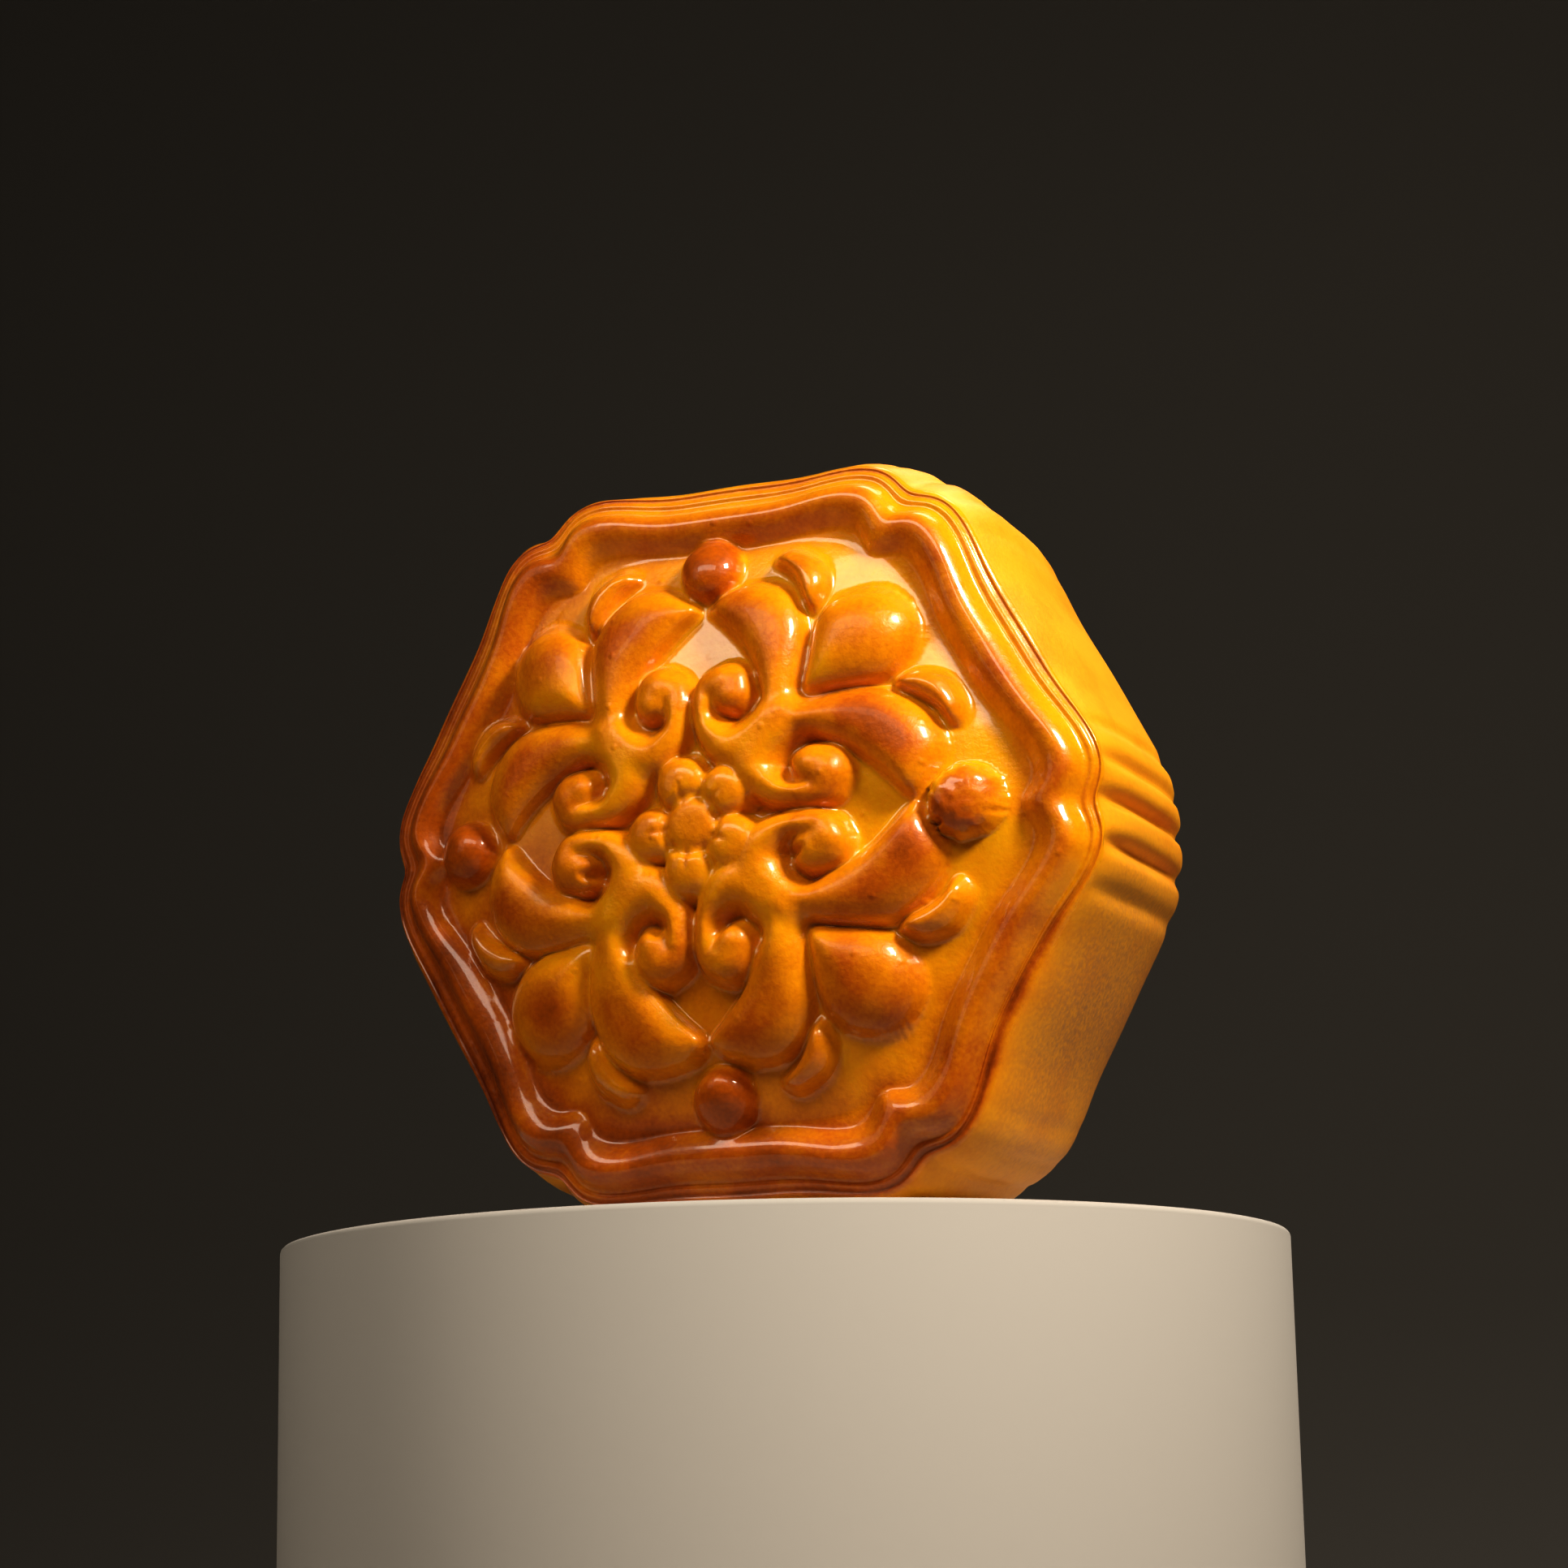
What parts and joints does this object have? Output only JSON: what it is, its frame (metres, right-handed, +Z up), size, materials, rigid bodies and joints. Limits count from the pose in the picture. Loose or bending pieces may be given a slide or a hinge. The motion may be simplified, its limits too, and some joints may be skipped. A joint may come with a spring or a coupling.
{
  "type": "mooncake",
  "caption": "Baked mooncake with a scalloped hexagonal rim and a pressed relief of scrolls, petals, pearls and a flower, standing on one flat side.",
  "frame": {"origin": "Middle of the footprint, on the plane that the cake stands on.", "axes": "+X runs across the width of the patterned face, to a viewer's right. +Y runs from the patterned face to the plain back. +Z is up."},
  "size_m": [0.0794, 0.0376, 0.0759],
  "materials": {
    "crust": "egg-washed baked crust, glossy on the pressed face and satin on the side"
  },
  "bodies": {
    "root": {"mooncake": "crust"}
  },
  "joints": []
}
